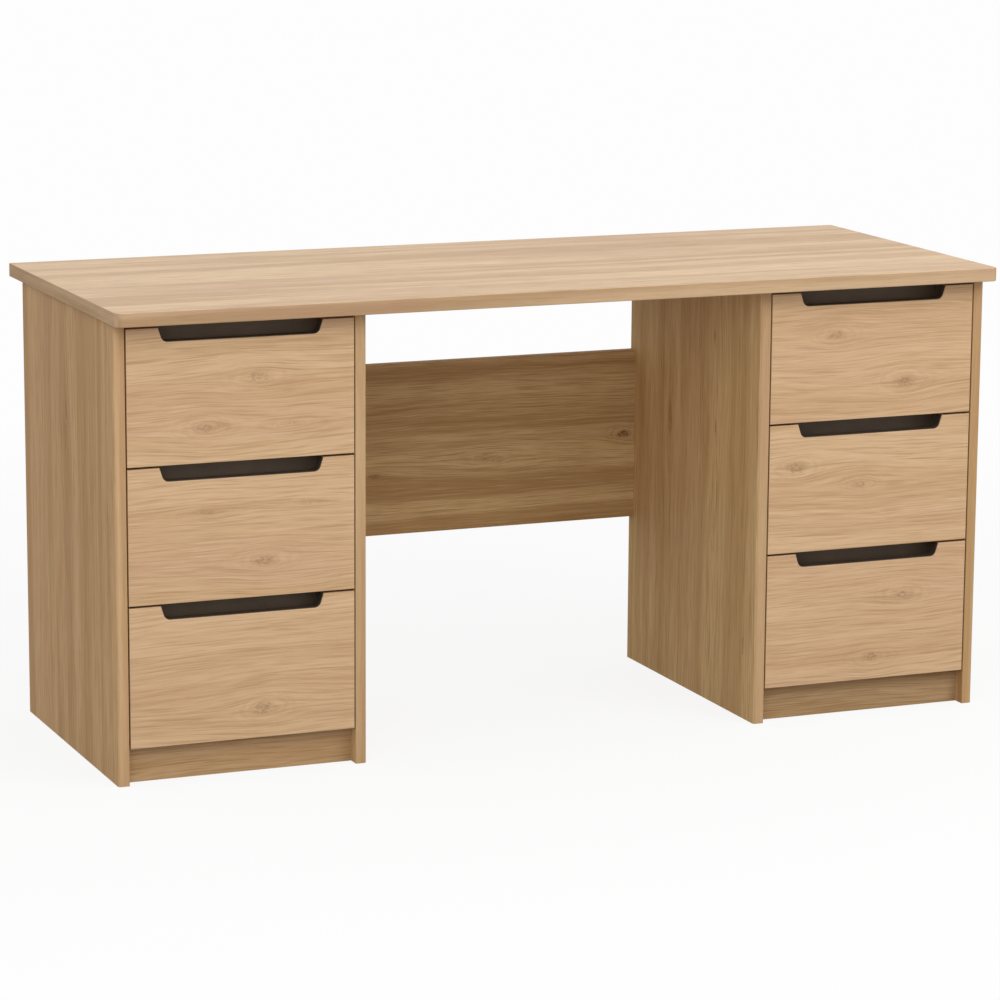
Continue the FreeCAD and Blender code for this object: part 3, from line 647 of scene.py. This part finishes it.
def skin(name: str, grid: np.ndarray, finish: Finish, body: str) -> bpy.types.Object:
    """Makes a piece of one closed shell, from a grid of points.

    The rows run along the shell's path and the columns round its profile, back to the first column.
    The first and last row are each closed by a face.

    Args:
        name: the piece's name.
        grid: points in metres, as rows by columns by three.
        finish: what the piece is made of.
        body: the body that it rides on.

    Returns:
        The piece.
    """
    index = np.arange(grid[..., 0].size).reshape(grid.shape[:2])
    beside = np.roll(index, -1, axis=1)
    quads = np.stack((index[:-1], index[1:], beside[1:], beside[:-1]), axis=-1)
    ends = np.stack((index[0], index[-1, ::-1]))
    mesh = bpy.data.meshes.new(name)
    mesh.from_pydata(grid.reshape(-1, 3).tolist(), [], quads.reshape(-1, 4).tolist() + ends.tolist())
    work = bmesh.new()
    work.from_mesh(mesh)
    bmesh.ops.recalc_face_normals(work, faces=work.faces)
    work.to_mesh(mesh)
    work.free()
    mesh.shade_smooth()
    mesh.set_sharp_from_angle(angle=CRISP)
    mesh.materials.append(finish.material())
    piece = bpy.data.objects.new(name, mesh)
    bpy.context.scene.collection.objects.link(piece)
    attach(piece, body)
    return piece


@dataclass
class SubAssembly:
    """A group of pieces that is put together before it joins the desk."""

    def build(self) -> list[bpy.types.Object]:
        """Makes the pieces that the frame doesn't hold, which are none unless a group says so."""
        return []

    def dress(self) -> None:
        """Gives each of the frame's pieces its finish."""
        raise NotImplementedError


@dataclass
class Desktop(SubAssembly):
    """The board top.

    Attributes:
        finish: its print.
    """

    finish: OakMelamine = OakMelamine(
        "oak_desktop",
        Lay.SHELF,
        seed=3.1,
        edge="#ddd8d5",
        contrast=1.35,
        gloss=0.4,
        pale="#e9c9a1",
        middle="#caa77e",
    )

    def dress(self) -> None:
        """Gives the top its print, with the grain from left to right."""
        give("desktop", self.finish)


@dataclass
class ModestyPanel(SubAssembly):
    """The board across the back of the kneehole.

    Attributes:
        finish: its print.
    """

    finish: OakMelamine = OakMelamine(
        "oak_modesty_panel",
        Lay.FRONT,
        seed=5.7,
        knots=(Knot(317, 403, 7, 0.9), Knot(66, 374, 13, 0.25, 4.0), Knot(-143, 358, 6, 0.4)),
        # Painted shade and bounce light: the face tint darkens the panel and takes out blue, for the shade
        # under the top and the warm light thrown by the wood round the kneehole
        face="#eeecd9",
        contrast=1.45,
        gloss=0.15,
        pale="#e0bf98",
        middle="#b8926a",
    )

    def dress(self) -> None:
        """Gives the panel its print, with the grain from left to right."""
        give("modesty_panel", self.finish)


# Knots on the pedestals' sides, where the grain stands upright
OUTER_KNOTS = (Knot(514, 0, 14, 0.2, 5.0), Knot(400, -225, 7, 0.25, 9.0))
INNER_KNOTS = (
    Knot(617, -92, 5, 0.3, 3.0),
    Knot(465, -100, 4, 0.4, 4.0),
    Knot(268, -92, 5, 0.3, 3.0),
    Knot(449, 79, 9, 0.3, 6.0),
    Knot(120, -216, 4, 0.4, 6.0),
)
# Painted shade: what each plinth's face is multiplied by, darker than the other boards for the shade in its
# recess under the bottom front, and darker at the right, where that shade is deeper
PLINTH_SHADES = {Side.LEFT: "#ebe8e2", Side.RIGHT: "#dad7d0"}
# The mirror share of the pedestals' boards, whose sheen is lower than the top's
LOW_GLOSS = 0.03
# The print on each board of a pedestal, which gets its name and its seed when the pedestal is dressed
CARCASS_BOARDS = {
    "outer_side": OakMelamine(
        "",
        Lay.SIDE,
        knots=OUTER_KNOTS,
        edge="#f6f4ee",
        face="#f7f1e2",
        contrast=1.25,
        gloss=LOW_GLOSS,
        middle="#be996f",
    ),
    "inner_side": OakMelamine(
        "",
        Lay.SIDE,
        knots=INNER_KNOTS,
        edge="#e2ded6",
        # Painted light: the face tint takes out blue, for the warm light thrown round the kneehole, and the
        # paler bands lift this shaded side
        face="#ffffee",
        contrast=1.15,
        gloss=LOW_GLOSS,
        pale="#e2c199",
        middle="#cca87f",
    ),
    "back_panel": OakMelamine("", Lay.BACK, edge="#fffffa", face="#ffffed", contrast=0.8, gloss=LOW_GLOSS),
    "base_panel": OakMelamine("", Lay.SHELF, edge="#fffffa", face="#ffffed", gloss=LOW_GLOSS),
    "plinth": OakMelamine("", Lay.FRONT, edge="#fffffa", contrast=1.3, gloss=LOW_GLOSS),
}


@dataclass
class Carcass(SubAssembly):
    """The fixed boards and runners of one pedestal.

    Attributes:
        side: where the pedestal stands.
        seed: which stretch of the print its first board was cut from.
        plinth: colour that the plinth's face is multiplied by: painted shade, which darkens the recessed
            plinth.
        board_step: how far on in the print each next board was cut.
    """

    side: Side
    seed: float
    plinth: str
    board_step: float = 0.37

    def dress(self) -> None:
        """Gives each board its print and the runners their paint."""
        word = self.side.value
        for number, (place, finish) in enumerate(CARCASS_BOARDS.items()):
            name = f"{word}_{place}"
            # the plinth's face takes its tint of painted shade
            face = self.plinth if place == "plinth" else finish.face
            seed = self.seed + self.board_step * number
            give(name, replace(finish, name=f"oak_{name}", seed=seed, face=face))
        give(f"{word}_cabinet_runners", COATED_STEEL)


# Knots of each drawer front, at their places in the desk's frame
FRONT_KNOTS = {
    (Side.LEFT, Level.TOP): (
        Knot(-515, 625, 11, 0.28, 2.6),
        Knot(-598, 551, 11, 0.32),
        Knot(-470, 552, 5, 0.22, 6.0),
    ),
    (Side.LEFT, Level.MIDDLE): (
        Knot(-504, 341, 11, 0.32, 2.4),
        Knot(-600, 421, 5, 0.2, 6.0),
        Knot(-430, 425, 6, 0.2, 5.0),
    ),
    (Side.LEFT, Level.BOTTOM): (Knot(-509, 104, 12, 0.36, 2.0),),
    (Side.RIGHT, Level.TOP): (Knot(473, 639, 10, 0.28), Knot(601, 558, 12, 0.32)),
    (Side.RIGHT, Level.MIDDLE): (Knot(407, 422, 11, 0.34), Knot(525, 388, 8, 0.3)),
    (Side.RIGHT, Level.BOTTOM): (Knot(608, 198, 11, 0.36), Knot(552, 96, 10, 0.32)),
}


@dataclass
class Drawer(SubAssembly):
    """One drawer: front, grip cup, grip lip, box, bottom, runners and rollers.

    Lengths are in millimetres.

    Attributes:
        side: the pedestal that it runs in.
        level: its place in the pedestal.
        seed: which stretch of the print its front was cut from.
        grip_depth: depth of the cut-out in the front's top edge.
        half_floor: half the width of the cut-out's floor, measured to the corners of its slopes.
        end_slope: how far each end of the cut-out leans out.
        corner: radius of the cut-out's lower corners.
        corner_points: how many points the lip has round each of these corners.
        lip_start: how far behind the front's face the lip begins.
        lip_end: how far behind the face it ends, at the back of the front.
        lip_thick: the lip's thickness.
        lip_short: how far under the front's top edge the lip's ends stop.
    """

    side: Side
    level: Level
    seed: float
    grip_depth: float = 22.0
    half_floor: float = 125.0
    end_slope: float = 7.0
    corner: float = 11.0
    corner_points: int = 15
    lip_start: float = 0.9
    lip_end: float = 18.0
    lip_thick: float = 0.8
    lip_short: float = 0.5

    @property
    def name(self) -> str:
        """The start of the names of the drawer's nodes."""
        return f"{self.side.value}_{self.level.word}"

    @property
    def lip_bead(self) -> float:
        """The size of the bevel on the lip's front edge, a third of the lip's thickness."""
        return self.lip_thick / 3

    def build(self) -> list[bpy.types.Object]:
        """Makes the lip round the cut-out."""
        return [self.grip_lip()]

    def grip_lip(self) -> bpy.types.Object:
        """The thin moulded lip that covers the cut-out's sloped ends, round corners and floor.

        A flat profile with a bevelled front edge is carried along the cut-out: down one slope, round
        its corner by an arc from the slope's angle to straight down, along the floor, and back up.

        Returns:
            The lip.
        """
        low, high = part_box(f"{self.name}_drawer_front")
        middle, front = (low.x + high.x) / 2 / MM, low.y / MM
        floor = high.z / MM - self.grip_depth
        lean = math.atan2(self.end_slope, self.grip_depth)
        flat = self.half_floor - self.corner * math.tan((math.pi / 2 - lean) / 2)
        turn = np.linspace(math.pi + lean, 1.5 * math.pi, self.corner_points)
        turn = np.concatenate((turn[:1], turn))
        angles = np.concatenate((turn, 3.0 * math.pi - turn[::-1]))
        centres = np.repeat([-flat, flat], turn.size)
        inward = -np.stack((np.cos(angles), np.sin(angles)), axis=-1)
        path = np.stack((centres, np.full(angles.size, floor + self.corner)), axis=-1) - self.corner * inward
        # the first and the last point go on up the slopes
        climb = self.grip_depth - self.lip_short - self.corner * (1.0 - math.sin(lean))
        path[[0, -1]] += climb * np.array([[-math.tan(lean), 1.0], [math.tan(lean), 1.0]])
        # the profile, as heights over the wood and depths behind the face
        shoulder, nose = self.lip_thick - self.lip_bead, self.lip_start + self.lip_bead
        rise = np.array([0.0, shoulder, self.lip_thick, self.lip_thick, 0.0])
        depth = np.array([self.lip_start, self.lip_start, nose, self.lip_end, self.lip_end])
        across = path[:, None, :] + rise[None, :, None] * inward[:, None, :]
        depths = np.broadcast_to(front + depth, across.shape[:2])
        points = np.stack((middle + across[..., 0], depths, across[..., 1]), axis=-1) * MM
        return skin(f"{self.name}_grip_lip", points, LIP_ABS, f"{self.name}_drawer")

    def dress(self) -> None:
        """Gives each piece of the drawer its finish."""
        oak = OakMelamine(
            f"oak_{self.name}_front",
            Lay.FRONT,
            seed=self.seed,
            knots=FRONT_KNOTS[self.side, self.level],
            # Painted shade: the fronts' edges are darker than their faces, for the shade on the cut-out's
            # ends and in the gaps
            edge="#c9c3b8",
            pale="#d5b38c",
            middle="#cba77f",
        )
        give(f"{self.name}_drawer_front", oak)
        give(f"{self.name}_grip_cup", GRIP_ABS)
        give(f"{self.name}_drawer_box", BOX_FOIL)
        give(f"{self.name}_drawer_bottom", PALE_HARDBOARD)
        give(f"{self.name}_drawer_runners", COATED_STEEL)
        give(f"{self.name}_front_rollers", NYLON)
        give(f"{self.name}_rear_rollers", NYLON)


@dataclass
class Fasteners(SubAssembly):
    """Rails, dowels and screws that hold the boards together.

    Attributes:
        rails: the rails' print.
    """

    rails: OakMelamine = OakMelamine("oak_top_rails", Lay.SHELF, seed=8.2)

    def dress(self) -> None:
        """Gives the hidden rails their print and the fasteners their metal or wood."""
        give("top_rails", self.rails)
        give("carcass_dowels", BEECH)
        give("top_fixing_screws", ZINC)
        give("runner_screws", ZINC)


@dataclass(frozen=True)
class Softbox:
    """A square soft light.

    Attributes:
        name: the light's name.
        place: where it hangs, in metres.
        aim: the point that it faces.
        size: its side, in metres.
        power: its power, in watts.
    """

    name: str
    place: Triple
    aim: Triple
    size: float
    power: float

    def hang(self) -> None:
        """Adds the light to the scene."""
        lamp = bpy.data.lights.new(self.name, "AREA")
        lamp.size = self.size
        lamp.energy = self.power
        held = bpy.data.objects.new(self.name, lamp)
        turn = (Vector(self.aim) - Vector(self.place)).to_track_quat("-Z", "Y")
        held.matrix_world = Matrix.Translation(self.place) @ turn.to_matrix().to_4x4()
        bpy.context.scene.collection.objects.link(held)


# The studio's lamps: the stronger one at the right, the weaker one at the left
SOFTBOXES = (
    Softbox("key", place=(1.6, -2.2, 2.3), aim=(0.1, -0.2, 0.5), size=1.4, power=29.0),
    Softbox("fill", place=(-1.5, -2.4, 1.5), aim=(0.0, -0.2, 0.5), size=1.4, power=13.5),
)


@dataclass
class Studio:
    """Floor, light and camera.

    Attributes:
        place: the camera's place, in metres.
        yaw: how far it is turned to the right of +Y, in radians.
        pitch: how far it looks down, in radians.
        roll: how far it leans, in radians.
        focal: focal length, in widths of the picture.
        sensor: width of the camera's sensor, in millimetres.
        sight: how far the camera sees, in metres.
        floor: half the floor's side, in metres.
        paint: how pale the floor's paint looks to the camera.
        bounce: share of the light that the floor throws back at the desk.
        fade: distances from the desk's middle between which the floor turns white, in metres.
        glow: share of the floor's look that is plain white, at these two distances.
        white: how bright the background looks to the camera, where one is white.
        ambient: light from all round, at the back and at the front of the studio.
    """

    place: Triple = (-2.38894, -5.78273, 1.58935)
    yaw: float = 0.3909
    pitch: float = 0.1956
    roll: float = 0.0063
    focal: float = 3.86226
    sensor: float = 36.0
    sight: float = 200.0
    floor: float = 40.0
    paint: float = 0.9
    bounce: float = 0.37
    fade: Span = (1.2, 3.0)
    glow: Span = (0.88, 1.0)
    white: float = 0.985
    ambient: Span = (0.58, 1.06)

    def build(self) -> None:
        """Sets up everything that isn't the desk."""
        bpy.context.scene.view_settings.view_transform = "Standard"
        self.add_camera()
        self.add_floor()
        self.add_world()
        for softbox in SOFTBOXES:
            softbox.hang()

    def add_camera(self) -> None:
        """Places the camera by its three turns: yaw about +Z, pitch about its right, roll about its view."""
        level = math.cos(self.pitch)
        ahead = Vector((math.sin(self.yaw) * level, math.cos(self.yaw) * level, -math.sin(self.pitch)))
        right = Vector((math.cos(self.yaw), -math.sin(self.yaw), 0.0))
        up = right.cross(ahead)
        cosine, sine = math.cos(self.roll), math.sin(self.roll)
        turned = (cosine * right + sine * up, cosine * up - sine * right, -ahead)
        lens = bpy.data.cameras.new("camera")
        lens.sensor_width = self.sensor
        lens.lens = self.focal * self.sensor
        lens.clip_end = self.sight
        camera = bpy.data.objects.new("camera", lens)
        camera.matrix_world = Matrix.Translation(self.place) @ Matrix(turned).transposed().to_4x4()
        bpy.context.scene.collection.objects.link(camera)
        bpy.context.scene.camera = camera

    def seen(self, tree: Tree) -> Socket:
        """Tells which rays show the background, to the camera or in gloss and glass.

        Args:
            tree: the node tree of the floor or the world.

        Returns:
            One for such a ray, else nought.
        """
        rays = add_node(tree, "LightPath").node.outputs
        eye, gloss, glass = (rays[f"Is {kind} Ray"] for kind in ("Camera", "Glossy", "Transmission"))
        shown = add_node(tree, "Math", {0: eye, 1: gloss}, operation="MAXIMUM")
        return add_node(tree, "Math", {0: shown, 1: glass}, operation="MAXIMUM")

    def add_floor(self) -> None:
        """A pale floor that keeps the desk's shadow and fades to white far away."""
        size = self.floor
        mesh = bpy.data.meshes.new("studio_floor")
        corners = [(-size, -size, 0.0), (size, -size, 0.0), (size, size, 0.0), (-size, size, 0.0)]
        mesh.from_pydata(corners, [], [(0, 1, 2, 3)])
        floor = bpy.data.objects.new("studio_floor", mesh)
        bpy.context.scene.collection.objects.link(floor)
        material = bpy.data.materials.new("studio_floor")
        material.use_nodes = True
        tree = material.node_tree
        tree.nodes.remove(tree.nodes["Principled BSDF"])
        seen = self.seen(tree)
        tone = add_node(tree, "MapRange", stretch(seen, (0.0, 1.0), (self.bounce, self.paint)))
        paint = add_node(tree, "BsdfDiffuse", {"Color": tone})
        glow = add_node(tree, "Emission", {"Color": (self.white, self.white, self.white, 1.0)})
        place = add_node(tree, "TexCoord", out="Object")
        away = add_node(tree, "VectorMath", {0: place}, out="Value", operation="LENGTH")
        feeds = stretch(away, self.fade, self.glow)
        share = add_node(tree, "MapRange", feeds, interpolation_type="SMOOTHSTEP")
        share = add_node(tree, "Math", {0: share, 1: seen}, operation="MULTIPLY")
        mixed = add_node(tree, "MixShader", {0: share, 1: paint, 2: glow})
        tree.links.new(mixed, tree.nodes["Material Output"].inputs["Surface"])
        mesh.materials.append(material)

    def add_world(self) -> None:
        """White all round to the eye and in reflections. As light, more of it comes from the front."""
        world = bpy.data.worlds.new("studio")
        world.use_nodes = True
        tree = world.node_tree
        away = add_node(tree, "SeparateXYZ", {0: add_node(tree, "TexCoord", out="Generated")}, out="Y")
        light = add_node(tree, "MapRange", stretch(away, (1.0, -1.0), self.ambient))
        strength = add_node(tree, "MapRange", stretch(self.seen(tree), (0.0, 1.0), (light, self.white)))
        background = tree.nodes["Background"]
        tree.links.new(strength, background.inputs["Strength"])
        background.inputs["Color"].default_value = (1.0, 1.0, 1.0, 1.0)
        bpy.context.scene.world = world


# Where the print of the first pedestal and of its lowest front starts, and how far on the next ones are cut
CARCASS_SEED = 11.0
CARCASS_SIDE_STEP = 2.3
FRONT_SEED = 20.0
FRONT_SIDE_STEP = 9.1
FRONT_LEVEL_STEP = 1.7


def main() -> None:
    """Builds the studio and dresses the desk, sub-assembly by sub-assembly."""
    logging.basicConfig(level=logging.INFO, format="%(name)s: %(message)s")
    Studio().build()
    assemblies: list[SubAssembly] = [Desktop(), ModestyPanel(), Fasteners()]
    for number, side in enumerate(Side):
        assemblies.append(Carcass(side, CARCASS_SEED + CARCASS_SIDE_STEP * number, PLINTH_SHADES[side]))
        for level in Level:
            seed = FRONT_SEED + FRONT_LEVEL_STEP * level.value + FRONT_SIDE_STEP * number
            assemblies.append(Drawer(side, level, seed))
    for assembly in assemblies:
        for piece in assembly.build():
            LOG.info("built %s", piece.name)
        assembly.dress()
        LOG.info("finished %s", type(assembly).__name__)


if __name__ == "__main__":
    main()
